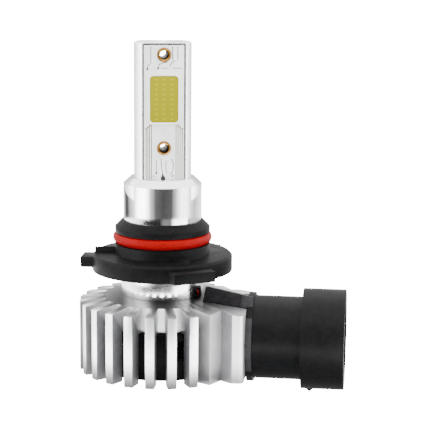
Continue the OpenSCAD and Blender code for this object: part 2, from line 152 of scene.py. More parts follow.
def grain(tree, coords, size_mm, detail=3.0, stretch=(1, 1, 1)):
    """Noise whose blobs are about size_mm across, pulled out by stretch."""
    place = add(tree, "ShaderNodeMapping", values={"Scale": stretch}, links={"Vector": coords})
    noise = add(
        tree, "ShaderNodeTexNoise", values={"Scale": 1 / (size_mm * MM), "Detail": detail},
        links={"Vector": place.outputs[0]},
    )
    return noise.outputs["Fac"]


def spread(tree, factor, low, high):
    """Maps noise from its usual 0.3 to 0.7 onto low to high."""
    node = add(
        tree, "ShaderNodeMapRange",
        values={"From Min": 0.3, "From Max": 0.7, "To Min": low, "To Max": high},
        links={"Value": factor},
    )
    return node.outputs["Result"]


def bump(tree, shader, height, depth_mm, strength=1.0):
    node = add(
        tree, "ShaderNodeBump", values={"Strength": strength, "Distance": depth_mm * MM},
        links={"Height": height},
    )
    tree.links.new(node.outputs[0], shader.inputs["Normal"])


def plain_finish(
    name, dark, light, rough, size_mm, metal=0.0, rough_spread=0.06, depth_mm=0.004,
    stretch=(1, 1, 1), coat=0.0, specular=0.5,
):
    """A finish of two close colours, mottled, with uneven gloss and a fine texture."""
    material, tree, shader, coords = new_material(name)
    soft = grain(tree, coords, size_mm * 3, 2.0, stretch)
    fine = grain(tree, coords, size_mm, 4.0, stretch)
    colour = ramp(tree, soft, [(0.35, linear(dark)), (0.65, linear(light))])
    tree.links.new(colour, shader.inputs["Base Color"])
    tree.links.new(
        spread(tree, fine, rough - rough_spread, rough + rough_spread), shader.inputs["Roughness"]
    )
    shader.inputs["Metallic"].default_value = metal
    shader.inputs["Coat Weight"].default_value = coat
    if not metal:
        shader.inputs["Specular IOR Level"].default_value = specular
    bump(tree, shader, fine, depth_mm)
    return material


# ---------------------------------------------------------------- mesh helpers

SHARP_ANGLE = math.radians(32)

def link(name, mesh):
    piece = bpy.data.objects.new(name, mesh)
    bpy.context.scene.collection.objects.link(piece)
    return piece


def from_bmesh(name, shape):
    bmesh.ops.recalc_face_normals(shape, faces=shape.faces)
    mesh = bpy.data.meshes.new(name)
    shape.to_mesh(mesh)
    shape.free()
    return link(name, mesh)


def node_copy(name, node):
    """A joined-up copy of a CAD node's mesh with its flat areas in single faces."""
    shape = bmesh.new()
    shape.from_mesh(frame["nodes"][node].data)
    bmesh.ops.remove_doubles(shape, verts=shape.verts, dist=0.002 * MM)
    bmesh.ops.dissolve_limit(
        shape, angle_limit=math.radians(0.5), verts=shape.verts, edges=shape.edges
    )
    return from_bmesh(name, shape)


def apply_modifiers(piece):
    """Turns a piece with modifiers into a plain mesh."""
    graph = bpy.context.evaluated_depsgraph_get()
    mesh = bpy.data.meshes.new_from_object(piece.evaluated_get(graph))
    piece.modifiers.clear()
    piece.data = mesh
    return piece


def soften(piece, width_mm=0):
    """Rounds the sharp edges, where there is a width, and shades the rest smooth."""
    if width_mm:
        bevel = piece.modifiers.new("bevel", "BEVEL")
        bevel.width = width_mm * MM
        bevel.segments = 2
        bevel.limit_method = "ANGLE"
        bevel.angle_limit = SHARP_ANGLE
        bevel.use_clamp_overlap = True
        bevel.harden_normals = False
        apply_modifiers(piece)
    piece.data.shade_smooth()
    piece.data.set_sharp_from_angle(angle=SHARP_ANGLE)
    return piece


def paint(piece, material):
    piece.data.materials.clear()
    piece.data.materials.append(material)
    return piece


def repaint(piece, material, wanted):
    """Gives the faces that pass a test another finish."""
    piece.data.materials.append(material)
    for face in piece.data.polygons:
        if wanted(face):
            face.material_index = len(piece.data.materials) - 1


def stand_for(piece, body, slot, material, *nodes):
    """Hands a finished piece to the frame."""
    paint(piece, material)
    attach(piece, body)
    if nodes:
        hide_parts(*nodes)
    return piece


def lathe(name, profile, segments=160):
    """Closed solid of revolution about Z from (radius, height) points in millimetres."""
    shape = bmesh.new()
    rings = []
    for radius, height in profile:
        if radius < 1e-6:
            rings.append([shape.verts.new((0, 0, height * MM))] * segments)
            continue
        rings.append([
            shape.verts.new((
                radius * MM * math.cos(2 * math.pi * i / segments),
                radius * MM * math.sin(2 * math.pi * i / segments), height * MM,
            )) for i in range(segments)
        ])
    for first, second in zip(rings, rings[1:] + rings[:1]):
        for i in range(segments):
            corners = [first[i], first[i - 1], second[i - 1], second[i]]
            unique = list(dict.fromkeys(corners))
            if len(unique) > 2:
                shape.faces.new(unique)
    return from_bmesh(name, shape)


def prism(name, outline, low, high, lay=None):
    """Outline in millimetres pulled from low to high along Z, then laid by a matrix."""
    shape = bmesh.new()
    bottom = [shape.verts.new((x * MM, y * MM, low * MM)) for x, y in outline]
    top = [shape.verts.new((x * MM, y * MM, high * MM)) for x, y in outline]
    shape.faces.new(bottom[::-1])
    shape.faces.new(top)
    for i in range(len(outline)):
        shape.faces.new([bottom[i - 1], bottom[i], top[i], top[i - 1]])
    if lay is not None:
        bmesh.ops.transform(shape, matrix=lay, verts=shape.verts)
    return from_bmesh(name, shape)


def combine(piece, tool, operation):
    """Exact boolean. The tool is used up."""
    modifier = piece.modifiers.new(operation.lower(), "BOOLEAN")
    modifier.operation = operation
    modifier.solver = "EXACT"
    modifier.object = tool
    apply_modifiers(piece)
    bpy.data.objects.remove(tool)
    return piece


def join(name, pieces):
    """One piece from several."""
    shape = bmesh.new()
    for piece in pieces:
        shape.from_mesh(piece.data)
        bpy.data.objects.remove(piece)
    mesh = bpy.data.meshes.new(name)
    shape.to_mesh(mesh)
    shape.free()
    return link(name, mesh)


# ---------------------------------------------------------------- geometry nodes


def ring_tree():
    """Copies of one piece, each turned a step further about Z."""
    tree = bpy.data.node_groups.new("ring_of_pieces", "GeometryNodeTree")
    sockets = [
        ("Piece", "NodeSocketObject"), ("Count", "NodeSocketInt"), ("First", "NodeSocketFloat"),
        ("Step", "NodeSocketFloat"), ("Material", "NodeSocketMaterial"),
    ]
    for name, kind in sockets:
        tree.interface.new_socket(name, in_out="INPUT", socket_type=kind)
    tree.interface.new_socket("Geometry", in_out="OUTPUT", socket_type="NodeSocketGeometry")
    given = add(tree, "NodeGroupInput").outputs
    points = add(tree, "GeometryNodePoints", links={"Count": given["Count"]})
    index = add(tree, "GeometryNodeInputIndex")
    angle = add(
        tree, "ShaderNodeMath", {"operation": "MULTIPLY_ADD"},
        links={0: index.outputs[0], 1: given["Step"], 2: given["First"]},
    )
    radians = add(tree, "ShaderNodeMath", {"operation": "RADIANS"}, links={0: angle.outputs[0]})
    turn = add(tree, "ShaderNodeCombineXYZ", links={"Z": radians.outputs[0]})
    source = add(
        tree, "GeometryNodeObjectInfo", {"transform_space": "ORIGINAL"},
        links={"Object": given["Piece"]},
    )
    placed = add(
        tree, "GeometryNodeInstanceOnPoints",
        links={
            "Points": points.outputs[0], "Instance": source.outputs["Geometry"],
            "Rotation": turn.outputs[0],
        },
    )
    solid = add(tree, "GeometryNodeRealizeInstances", links={"Geometry": placed.outputs[0]})
    painted = add(
        tree, "GeometryNodeSetMaterial",
        links={"Geometry": solid.outputs[0], "Material": given["Material"]},
    )
    add(tree, "NodeGroupOutput", links={"Geometry": painted.outputs[0]})
    return tree


RING = ring_tree()


def ring_of(name, master, count, first, step, material):
    """count copies of master about Z, made with the ring tree. The master is used up."""
    piece = link(name, bpy.data.meshes.new(name))
    modifier = piece.modifiers.new("ring", "NODES")
    modifier.node_group = RING
    wanted = {"Piece": master, "Count": count, "First": first, "Step": step, "Material": material}
    for item in RING.interface.items_tree:
        if item.in_out == "INPUT":
            modifier[item.identifier] = wanted[item.name]
    apply_modifiers(piece)
    bpy.data.objects.remove(master)
    return piece


# ---------------------------------------------------------------- light

WORLD_TOP = 4.6
WORLD_SIDE = 4.2
WORLD_BOTTOM = 0.7
BACKDROP = 20.0


def add_world():
    """Plain white to the camera; a soft tent, darker below, to everything else."""
    world = bpy.data.worlds.new("white_tent")
    bpy.context.scene.world = world
    world.use_nodes = True
    tree = world.node_tree
    tree.nodes.clear()
    way = add(tree, "ShaderNodeTexCoord").outputs["Generated"]
    split = add(tree, "ShaderNodeSeparateXYZ", links={"Vector": way})
    height = add(
        tree, "ShaderNodeMapRange", values={"From Min": -1.0, "From Max": 1.0},
        links={"Value": split.outputs["Z"]},
    )
    tent = ramp(tree, height.outputs[0], [
        (0.0, (WORLD_BOTTOM,) * 3 + (1,)), (0.30, (WORLD_BOTTOM * 1.3,) * 3 + (1,)),
        (0.37, (WORLD_SIDE,) * 3 + (1,)), (1.0, (WORLD_TOP,) * 3 + (1,)),
    ])
    lit = add(tree, "ShaderNodeBackground", values={"Strength": 1.0}, links={"Color": tent})
    seen = add(
        tree, "ShaderNodeBackground", values={"Color": (1, 1, 1, 1), "Strength": BACKDROP}
    )
    ray = add(tree, "ShaderNodeLightPath").outputs["Is Camera Ray"]
    mixed = add(
        tree, "ShaderNodeMixShader",
        links={0: ray, 1: lit.outputs[0], 2: seen.outputs[0]},
    )
    add(tree, "ShaderNodeOutputWorld", links={"Surface": mixed.outputs[0]})


def add_screen(name, low, high, stops):
    """Ring round the lamp, seen only in reflections: (azimuth, brightness) stops, 0 at the camera."""
    distance, steps = 100, 180
    shape = bmesh.new()
    glow = shape.loops.layers.float.new("glow")
    corners = [
        [shape.verts.new((
            distance * MM * math.cos(2 * math.pi * i / steps),
            distance * MM * math.sin(2 * math.pi * i / steps), z * MM,
        )) for i in range(steps)] for z in (low, high)
    ]

    def azimuth_of(i):
        return (360 * i / steps + 90 - CAMERA_TURN + 180) % 360 - 180

    def brightness(azimuth):
        for (a0, b0), (a1, b1) in zip(stops, stops[1:]):
            if a0 <= azimuth <= a1:
                return b0 + (b1 - b0) * (azimuth - a0) / (a1 - a0)
        return stops[-1][1]

    for i in range(steps):
        j = (i + 1) % steps
        if not stops[0][0] <= azimuth_of(i + 0.5) <= stops[-1][0]:
            continue
        face = shape.faces.new([corners[0][i], corners[0][j], corners[1][j], corners[1][i]])
        for loop, k in zip(face.loops, (i, i + 1, i + 1, i)):
            loop[glow] = brightness(azimuth_of(k))
    mesh = bpy.data.meshes.new(name)
    shape.to_mesh(mesh)
    shape.free()
    screen = link(name, mesh)
    material = bpy.data.materials.new(name)
    material.use_nodes = True
    tree = material.node_tree
    tree.nodes.clear()
    level = add(tree, "ShaderNodeAttribute", {"attribute_name": "glow"})
    light = add(
        tree, "ShaderNodeEmission", values={"Color": (1, 1, 1, 1)},
        links={"Strength": level.outputs["Fac"]},
    )
    add(tree, "ShaderNodeOutputMaterial", links={"Surface": light.outputs[0]})
    paint(screen, material)
    screen.visible_camera = False
    screen.visible_shadow = False
    screen.visible_diffuse = False
    screen.visible_transmission = False


def add_floor():
    """Plain white floor under the lamp, clear from below so that the underside can be seen."""
    floor = link("floor", bpy.data.meshes.new("floor"))
    shape = bmesh.new()
    bmesh.ops.create_circle(shape, cap_ends=True, segments=96, radius=1.5)
    bmesh.ops.translate(shape, verts=shape.verts, vec=(0, 0, start_box[0][2] - 2 * MM))
    shape.to_mesh(floor.data)
    shape.free()
    material = bpy.data.materials.new("white_paper")
    material.use_nodes = True
    tree = material.node_tree
    tree.nodes.clear()
    lit = add(
        tree, "ShaderNodeEmission", values={"Color": (1, 1, 1, 1), "Strength": BACKDROP}
    )
    clear = add(tree, "ShaderNodeBsdfTransparent")
    back = add(tree, "ShaderNodeNewGeometry").outputs["Backfacing"]
    mixed = add(
        tree, "ShaderNodeMixShader", links={0: back, 1: lit.outputs[0], 2: clear.outputs[0]}
    )
    add(tree, "ShaderNodeOutputMaterial", links={"Surface": mixed.outputs[0]})
    paint(floor, material)
    floor.visible_shadow = floor.visible_diffuse = floor.visible_glossy = False


add_world()
add_floor()
# upright light and dark bands that the polished collar picks up
add_screen("screen_front", -12.5, 70, [
    (-88, 2.4), (-70, 12.0), (-52, 12.0), (-34, 1.4), (-20, 0.2), (2, 0.1), (26, 0.16),
    (38, 1.2), (56, 6.0), (72, 6.0), (88, 2.0),
])
add_screen("screen_left", -12.5, 4, [
    (-180, 2.6), (-150, 1.8), (-134, 0.14), (-118, 0.14), (-88, 2.4),
])
add_screen("screen_right", -12.5, 4, [(88, 2.0), (104, 1.2), (135, 2.6), (180, 2.8)])
# the mast's round sides fade from bright at the boards to grey at their backs
add_screen("screen_mast_left", 4, 70, [(-180, 1.3), (-150, 1.5), (-120, 3.4), (-88, 9.0)])
add_screen("screen_mast_right", 4, 70, [(88, 9.0), (120, 3.4), (150, 1.5), (180, 1.3)])
# harder, darker bands for the neck under the base
add_screen("screen_neck", -36, -12.5, [
    (-180, 2.0), (-140, 4.0), (-100, 5.0), (-64, 2.0), (-52, 0.02), (-8, 0.02), (4, 0.35),
    (24, 0.35), (36, 8.0), (72, 10.0), (80, 0.4), (86, 1.2), (130, 1.0), (180, 2.0),
])
# what the fins' turned faces pick up
add_screen("screen_fins", -60, -36, [(-110, 11.0), (0, 13.0), (70, 11.0), (110, 7.0)])

# ---------------------------------------------------------------- sizes

SINK_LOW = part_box("heat_sink")[0][2] / MM
SINK_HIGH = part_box("heat_sink")[1][2] / MM
SINK_R = -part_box("heat_sink")[0][0] / MM
WALL_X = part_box("heat_sink")[1][0] / MM
COLLAR_TOP = 18.2
NECK_R = 9.7
NECK_TOP = -3.8
HUB_R = 13.8
TAIL_R = 7.05          # hole in the hub for the column's tail
FIN_T = 2.1
FIN_STEP = 15
FIRST_FIN = 60         # angle of the first fin past the connector block
FIN_COUNT = 17
BAY_R = 15.8           # bay for the fan
BAY_TOP = -15.8
DRIVER_BAY_R = 12.1    # bay for the driver board, with a ledge that the board rests on
BOARD_SEAT = -14.1
LEDGE_R = 11.7
WEB_LOW = -11.5        # underside of the web between the driver and the column
NOTCH_X = 18.6         # notch for the connector's hook
NOTCH_HALF = 6.5
NOTCH_FLOOR = -12.6
WIRE_CUT_X = 17.5      # inner end of the cut in the notch's edge for the power wires
WIRE_SIDES = (-2.95, -0.15)
TOP_SLOPE = 0.155
BLOCK_X = 12.5         # the connector block begins about here

# ---------------------------------------------------------------- materials


def turned_metal():
    """Polished aluminium with hair-fine turning rings; the mast above the collar is softer."""
    material, tree, shader, coords = new_material("turned_aluminium")
    rings = grain(tree, coords, 0.12, 2.0, (0.02, 0.02, 1))
    wide = grain(tree, coords, 5.0, 2.0)
    colour = ramp(tree, wide, [(0.35, linear("e4e2e4")), (0.65, linear("f2f0f1"))])
    tree.links.new(colour, shader.inputs["Base Color"])
    shader.inputs["Metallic"].default_value = 1.0
    height = add(tree, "ShaderNodeSeparateXYZ", links={"Vector": coords}).outputs["Z"]
    mast = add(
        tree, "ShaderNodeMapRange",
        values={
            "From Min": (COLLAR_TOP - 0.1) * MM, "From Max": (COLLAR_TOP + 0.1) * MM,
            "To Min": 0.05, "To Max": 0.24,
        },
        links={"Value": height},
    )
    uneven = add(
        tree, "ShaderNodeMath", {"operation": "MULTIPLY_ADD"}, {1: 0.05},
        links={0: rings, 2: mast.outputs[0]},
    )
    tree.links.new(uneven.outputs[0], shader.inputs["Roughness"])
    bump(tree, shader, rings, 0.002, 0.35)
    return material


def brushed_neck():
    """Aluminium brushed round the axis, with softer reflections than the collar's."""
    material, tree, shader, coords = new_material("brushed_aluminium")
    rings = grain(tree, coords, 0.1, 3.0, (0.02, 0.02, 1))
    wide = grain(tree, coords, 4.0, 2.0)
    colour = ramp(tree, wide, [(0.35, linear("e6e4e6")), (0.65, linear("f4f2f3"))])
    tree.links.new(colour, shader.inputs["Base Color"])
    tree.links.new(spread(tree, rings, 0.15, 0.19), shader.inputs["Roughness"])
    shader.inputs["Metallic"].default_value = 1.0
    return material


def sink_metal():
    """Aluminium with painted light and shade: bright on the fins' outer faces and top, grey and matt
    on their flanks, darker towards the bottom, and near black on the top near the neck.
    """
    material, tree, shader, coords = new_material("aluminium_with_painted_shade")
    fine = grain(tree, coords, 0.25, 4.0)
    wide = grain(tree, coords, 4.0, 2.0)
    # painted light: a bright colour for the outer faces and top, a grey one for the flanks
    flank = ramp(tree, wide, [(0.35, linear("68686a")), (0.65, linear("727274"))])
    turned = ramp(tree, wide, [(0.35, linear("ececee")), (0.65, linear("f6f6f8"))])
    height = add(tree, "ShaderNodeSeparateXYZ", links={"Vector": coords}).outputs["Z"]
    # painted shade: darker towards the bottom
    foot_shade = add(
        tree, "ShaderNodeMapRange", {"interpolation_type": "SMOOTHSTEP"},
        {"From Min": SINK_LOW * MM, "From Max": (SINK_LOW + 6) * MM, "To Min": 0.05},
        {"Value": height},
    ).outputs[0]
    painted_brightness = add(tree, "ShaderNodeAttribute", {"attribute_name": "painted_brightness"}).outputs["Fac"]
    bright = add(tree, "ShaderNodeMath", {"operation": "MULTIPLY"}, links={0: painted_brightness, 1: foot_shade})
    painted_tone = add(
        tree, "ShaderNodeMix", {"data_type": "RGBA"},
        links={0: bright.outputs[0], 6: flank, 7: turned},
    )
    # painted shade: near black on the top near the neck, where the base would shade it
    shade = add(tree, "ShaderNodeAttribute", {"attribute_name": "shade"}).outputs["Fac"]
    colour = add(
        tree, "ShaderNodeMix", {"data_type": "RGBA"}, {7: linear("0c0c0d")},
        {0: shade, 6: painted_tone.outputs[2]},
    )
    shader.inputs["Specular IOR Level"].default_value = 0.1
    tree.links.new(colour.outputs[2], shader.inputs["Base Color"])
    metallic = add(
        tree, "ShaderNodeMapRange", values={"To Min": 0.3, "To Max": 1.0}, links={"Value": painted_brightness}
    )
    tree.links.new(metallic.outputs[0], shader.inputs["Metallic"])
    tree.links.new(spread(tree, fine, 0.3, 0.4), shader.inputs["Roughness"])
    bump(tree, shader, fine, 0.006, 0.5)
    return material


def paint_sink_light_and_shade(piece):
    """Writes painted light and shade on each face: how bright the sink's metal is painted, and how
    dark its top is painted near the neck.
    """
    mesh = piece.data
    painted_brightness, shade = [0.0] * len(mesh.loops), [0.0] * len(mesh.loops)
    for face in mesh.polygons:
        for index in face.loop_indices:
            point = mesh.vertices[mesh.loops[index].vertex_index].co / MM
            radius = math.hypot(point.x, point.y)
            outward = (face.normal.x * point.x + face.normal.y * point.y) / max(radius, 1e-6)
            # painted light: each face's brightness is set by which way it faces and where it is
            if face.normal.z > 0.6:
                # painted shade: the top darkens towards the neck, where the base would shade it
                painted_brightness[index] = 0.9
                shade[index] = min(1.0, max(0.0, (18.0 - radius) / 5.0))
            elif radius < HUB_R + 0.5:
                painted_brightness[index] = 0.7
            elif point.x > BLOCK_X and outward > 0.3:
                painted_brightness[index] = 0.6
            elif outward > 0.55:
                painted_brightness[index] = 1.0
    for name, values in (("painted_brightness", painted_brightness), ("shade", shade)):
        mesh.attributes.new(name, "FLOAT", "CORNER").data.foreach_set("value", values)


def phosphor_gel(turn):
    """Yellow silicone with the dies glowing faintly through in a grid."""
    material, tree, shader, coords = new_material("phosphor_silicone")
    board = add(
        tree, "ShaderNodeMapping", values={"Rotation": (0, 0, math.radians(-turn))},
        links={"Vector": coords},
    )
    split = add(tree, "ShaderNodeSeparateXYZ", links={"Vector": board.outputs[0]})
    waves = []
    for axis, pitch, shift in (("X", 1.75, 0.0), ("Z", 1.12, 36.3)):
        moved = add(
            tree, "ShaderNodeMath", {"operation": "MULTIPLY_ADD"},
            {1: 2 * math.pi / (pitch * MM), 2: -2 * math.pi * shift / pitch},
            links={0: split.outputs[axis]},
        )
        wave = add(tree, "ShaderNodeMath", {"operation": "COSINE"}, links={0: moved.outputs[0]})
        waves.append(add(
            tree, "ShaderNodeMapRange", values={"From Min": 0.0, "From Max": 1.0},
            links={"Value": wave.outputs[0]},
        ).outputs[0])
    dies = add(
        tree, "ShaderNodeMath", {"operation": "MULTIPLY"}, links={0: waves[0], 1: waves[1]}
    )
    cloud = grain(tree, coords, 1.2, 3.0)
    blend = add(
        tree, "ShaderNodeMath", {"operation": "MULTIPLY_ADD"}, {1: 0.35},
        links={0: cloud, 2: dies.outputs[0]},
    )
    colour = ramp(tree, blend.outputs[0], [
        (0.0, linear("7c7800")), (0.5, linear("878200")), (1.2, linear("959002")),
    ])
    tree.links.new(colour, shader.inputs["Base Color"])
    tree.links.new(spread(tree, cloud, 0.34, 0.46), shader.inputs["Roughness"])
    shader.inputs["Specular IOR Level"].default_value = 0.05
    bump(tree, shader, cloud, 0.01, 0.4)
    return material


centre = [sum(pair) / 2 for pair in zip(*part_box("phosphor_front"))]
MAST_TURN = math.degrees(math.atan2(centre[1], centre[0])) + 90
FRONT = Matrix.Rotation(math.radians(MAST_TURN), 4, "Z")

FINISHES = {
    # silver with sharp upright reflections, softer on the mast
    "column_aluminium": turned_metal(),
    # pale board lacquer with a faint gloss
    "solder_mask": plain_finish("white_solder_mask", "dde0de", "e8eae8", 0.34, 0.6, coat=0.1),
    # milky rim round the light field
    "dam_silicone": plain_finish("white_silicone", "e2e0d2", "efeee4", 0.4, 0.5),
    # small pale chips under the gel
    "led_die": plain_finish("led_chip", "c8b83a", "d8ca5a", 0.25, 0.3),
    # yellow field with a faint grid
    "phosphor_silicone": phosphor_gel(MAST_TURN),
    # warm orange-gold ring
    "rivet_brass": plain_finish("bright_brass", "7e5826", "987036", 0.24, 0.4, metal=1.0),
    # red and black wire jackets
    "red_insulation": plain_finish("red_pvc", "a80c0c", "bd1414", 0.4, 0.5),
    "black_insulation": plain_finish("black_pvc", "0e0e0f", "18181a", 0.42, 0.5),
    # hidden seal, dull black
    "black_rubber": plain_finish("nitrile_rubber", "101011", "1a1a1b", 0.62, 0.5),
    # deep satin black with a soft sheen
    "base_nylon": plain_finish(
        "black_nylon", "09090a", "0d0d0e", 0.4, 0.5, depth_mm=0.003, specular=0.035
    ),
    # clean bright red
    "red_silicone": plain_finish(
        "red_silicone", "720001", "7b0002", 0.36, 0.6, depth_mm=0.002, specular=0.03
    ),
    # pale blasted metal, with painted light and shade on its faces
    "sink_aluminium": sink_metal(),
    # small bright screws
    "zinc_steel": plain_finish("zinc_plated_steel", "b8babc", "d2d4d6", 0.27, 0.3, metal=1.0),
    # glossy green board
    "green_laminate": plain_finish("green_solder_mask", "0c4a22", "13602e", 0.28, 0.7, coat=0.2),
    # dull dark grey ceramic
    "ferrite": plain_finish("ferrite", "2a2a2c", "3a3a3c", 0.55, 0.3),
    # tan chip capacitors
    "capacitor_ceramic": plain_finish("tan_ceramic", "9a7a58", "b08e6a", 0.4, 0.3),
    # matt black chip bodies
    "chip_epoxy": plain_finish("black_epoxy", "141414", "202020", 0.5, 0.2),
    # thin dark sheet
    "black_film": plain_finish("black_polyester_film", "101012", "1a1a1c", 0.35, 0.8),
    # dark fan mouldings
    "fan_plastic": plain_finish("black_pbt", "070708", "0b0b0c", 0.42, 0.4, specular=0.04),
    # grey stacked sheets
    "stator_steel": plain_finish(
        "lamination_steel", "6e6e70", "8c8c90", 0.4, 0.3, metal=1.0, stretch=(0.05, 0.05, 1)
    ),
    # red-brown enamelled wire
    "copper_enamel": plain_finish(
        "enamelled_copper", "9a4a22", "c06a34", 0.28, 0.18, metal=1.0, stretch=(1, 1, 0.1),
        depth_mm=0.02,
    ),
    # dull brown porous metal
    "sintered_bronze": plain_finish("sintered_bronze", "8a6a3c", "a8854e", 0.5, 0.2, metal=1.0),
    # pressed cup
    "yoke_steel": plain_finish("pressed_steel", "9a9a9c", "b2b2b4", 0.35, 0.4, metal=1.0),
    # polished pin
    "bright_steel": plain_finish("ground_steel", "c8c8ca", "dadadc", 0.15, 0.3, metal=1.0),
    # plain silver-grey sticker
    "label_foil": plain_finish("grey_foil", "a6a6a8", "b6b6b8", 0.42, 1.5, rough_spread=0.04),
    # rougher and a touch warmer than the base
    "cover_nylon": plain_finish(
        "grained_nylon", "100e10", "1a181b", 0.55, 0.35, depth_mm=0.02, specular=0.08
    ),
    # dark grey with a long soft highlight
    "connector_nylon": plain_finish(
        "dark_nylon", "0a0a0b", "0e0e0f", 0.42, 0.6, depth_mm=0.003, specular=0.06
    ),
    # dull black moulding inside the plug
    "carrier_nylon": plain_finish("matt_nylon", "0c0c0d", "141415", 0.5, 0.4, specular=0.1),
    # pale gold contacts
    "contact_brass": plain_finish("tinned_brass", "c8b07a", "dac48e", 0.25, 0.4, metal=1.0),
}
SLOT_OF = {part["node"]: part["material_slot"] for part in frame["record"]["subparts"]}
BODY_OF = {
    node: body for body, nodes in frame["record"]["behaviour"]["bodies"].items() for node in nodes
}


def softened_node(node, width_mm=0):
    """A copy of a CAD node with its edges rounded, standing for that node."""
    piece = soften(node_copy(node + "_soft", node), width_mm)
    return stand_for(piece, BODY_OF[node], SLOT_OF[node], FINISHES[SLOT_OF[node]], node)


# ---------------------------------------------------------------- pieces from CAD nodes

SOFTENED = {
    "light_column": 0.14, "led_board_front": 0.06, "led_board_rear": 0.06,
    "cob_dam_front": 0.18, "cob_dam_rear": 0.18, "phosphor_front": 0.1, "phosphor_rear": 0.1,
    "base_adapter": 0.25, "wire_cover": 0.15, "connector_shell": 0.2,
    "contact_carrier": 0.2, "blade_contacts": 0.1, "fan_frame": 0.15, "rotor_impeller": 0.12,
    "rotor_yoke": 0.1, "rotor_label": 0.03, "driver_cover": 0.05, "driver_board": 0.08,
    "driver_inductor": 0.2, "driver_capacitors": 0.1, "driver_chips": 0.1,
    "stator_coils": 0.25, "stator_core": 0.05, "column_screws": 0.08, "fan_screws": 0.08,
    "connector_screws": 0.1,
}
for node_name, edge in SOFTENED.items():
    softened_node(node_name, edge)
softened_node("seal_ring")

# painted light: the hook's flat front, the faces turned towards -Y, is painted paler than the round
# parts behind it
NYLON_PAINTED_LIGHTER = plain_finish("nylon_with_painted_light", "262628", "2c2c2e", 0.5, 0.5, specular=0.1)
repaint(
    bpy.data.objects["connector_shell_soft"], NYLON_PAINTED_LIGHTER,
    lambda face: face.center.x < 22.2 * MM and face.normal.y < -0.8,
)
column = bpy.data.objects["light_column_soft"]
NECK_DRAFT = 0.28
for vertex in column.data.vertices:
    x, y, z = vertex.co / MM
    radius = math.hypot(x, y)
    if SINK_HIGH - 0.5 < z < NECK_TOP and radius > NECK_R - 0.5:
        # the neck narrows a little towards the base
        shrink = 1 - NECK_DRAFT * max(z - SINK_HIGH, 0) / (NECK_TOP - SINK_HIGH) / radius
        vertex.co.x *= shrink
        vertex.co.y *= shrink
repaint(column, brushed_neck(), lambda face: face.center.z < (NECK_TOP - 0.1) * MM)

# ---------------------------------------------------------------- heat sink


def top_z(radius):
    """Height of the sink's sloping top."""
    return SINK_HIGH - (radius - NECK_R) * TOP_SLOPE


def fin_master():
    """One fin on +X: full height outside the fan bay, rooted in the hub above it."""
    outer = math.sqrt(SINK_R**2 - (FIN_T / 2) ** 2)
    root = HUB_R - 0.6
    side = [
        (root, BAY_TOP), (BAY_R, BAY_TOP), (BAY_R, SINK_LOW), (outer, SINK_LOW),
        (outer, top_z(outer)), (root, top_z(root)),
    ]
    lay = Matrix.Rotation(math.radians(90), 4, "X")
    fin = prism("fin_master", side, -FIN_T / 2, FIN_T / 2, lay)
    return soften(fin, 0.16)


def sink_core():
    """Hub and connector block."""
    tip = math.radians(45) + math.asin(FIN_T / 2 / SINK_R)
    wall_half, corner = 12.4, 1.3
    side = [
        (0, HUB_R / 2), (SINK_R * math.cos(tip), SINK_R * math.sin(tip)), (15.1, 10.5),
        (17.2, wall_half - 0.2), (17.8, wall_half),
    ]
    for step in range(7):
        a = math.radians(90 - 15 * step)
        side.append((
            WALL_X - corner * (1 - math.cos(a)), wall_half - corner * (1 - math.sin(a))
        ))
    outline = side + [(x, -y) for x, y in reversed(side)]
    block = prism("sink_block", outline, SINK_LOW, SINK_HIGH)
    inside = [
        (TAIL_R, WEB_LOW), (LEDGE_R, WEB_LOW), (LEDGE_R, BOARD_SEAT), (DRIVER_BAY_R, BOARD_SEAT),
        (DRIVER_BAY_R, BAY_TOP),
    ]
    hub = lathe("sink_hub", inside + [
        (HUB_R, BAY_TOP), (HUB_R, top_z(HUB_R)), (NECK_R, SINK_HIGH), (TAIL_R, SINK_HIGH),
    ], 144)
    hollow = lathe("sink_hollow", [
        (0, -40), (BAY_R, -40), (BAY_R, BAY_TOP), *inside[::-1], (TAIL_R, 5), (0, 5),
    ], 144)
    above = lathe("sink_above", [
        (0, SINK_HIGH), (NECK_R, SINK_HIGH), (40, top_z(40)), (40, 10), (0, 10),
    ], 144)
    # the notch for the connector's hook, with a step in its edge for the power wires
    wires_low, wires_high = WIRE_SIDES
    notch = prism("sink_notch", [
        (NOTCH_X, -NOTCH_HALF), (25, -NOTCH_HALF), (25, NOTCH_HALF), (NOTCH_X, NOTCH_HALF),
        (NOTCH_X, wires_high), (WIRE_CUT_X, wires_high), (WIRE_CUT_X, wires_low),
        (NOTCH_X, wires_low),
    ], NOTCH_FLOOR, 5)
    combine(block, hollow, "DIFFERENCE")
    combine(block, above, "DIFFERENCE")
    combine(block, notch, "DIFFERENCE")
    combine(block, hub, "UNION")
    return soften(block, 0.2)


metal = FINISHES["sink_aluminium"]
fins = soften(ring_of("sink_fins", fin_master(), FIN_COUNT, FIRST_FIN, FIN_STEP, metal))
core = sink_core()
# painted light and shade on both sink pieces
for sink_piece in (fins, core):
    paint_sink_light_and_shade(sink_piece)
stand_for(fins, "lamp", "sink_aluminium", metal)
stand_for(core, "lamp", "sink_aluminium", metal, "heat_sink")

# ---------------------------------------------------------------- eyelets and board artwork


def along_board(node):
    """Distance of a board's outer face from the lamp axis, in millimetres."""
    normal = FRONT @ Vector((0, -1, 0))
    return max(v.co.dot(normal) for v in frame["nodes"][node].data.vertices) / MM


BOARD_FACE = along_board("led_board_front")
rivet_low, rivet_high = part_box("board_rivets")
RIVET_HEAD = 1.65
RIVET_Z = [rivet_low[2] / MM + RIVET_HEAD, rivet_high[2] / MM - RIVET_HEAD]
BRASS = FINISHES["rivet_brass"]
# painted shade: the inside of the rivets, dark brown, where the holes lie in shade
BORE_SHADE = plain_finish("brass_painted_dark_inside", "1c0f06", "301b0c", 0.4, 0.3, metal=1.0)


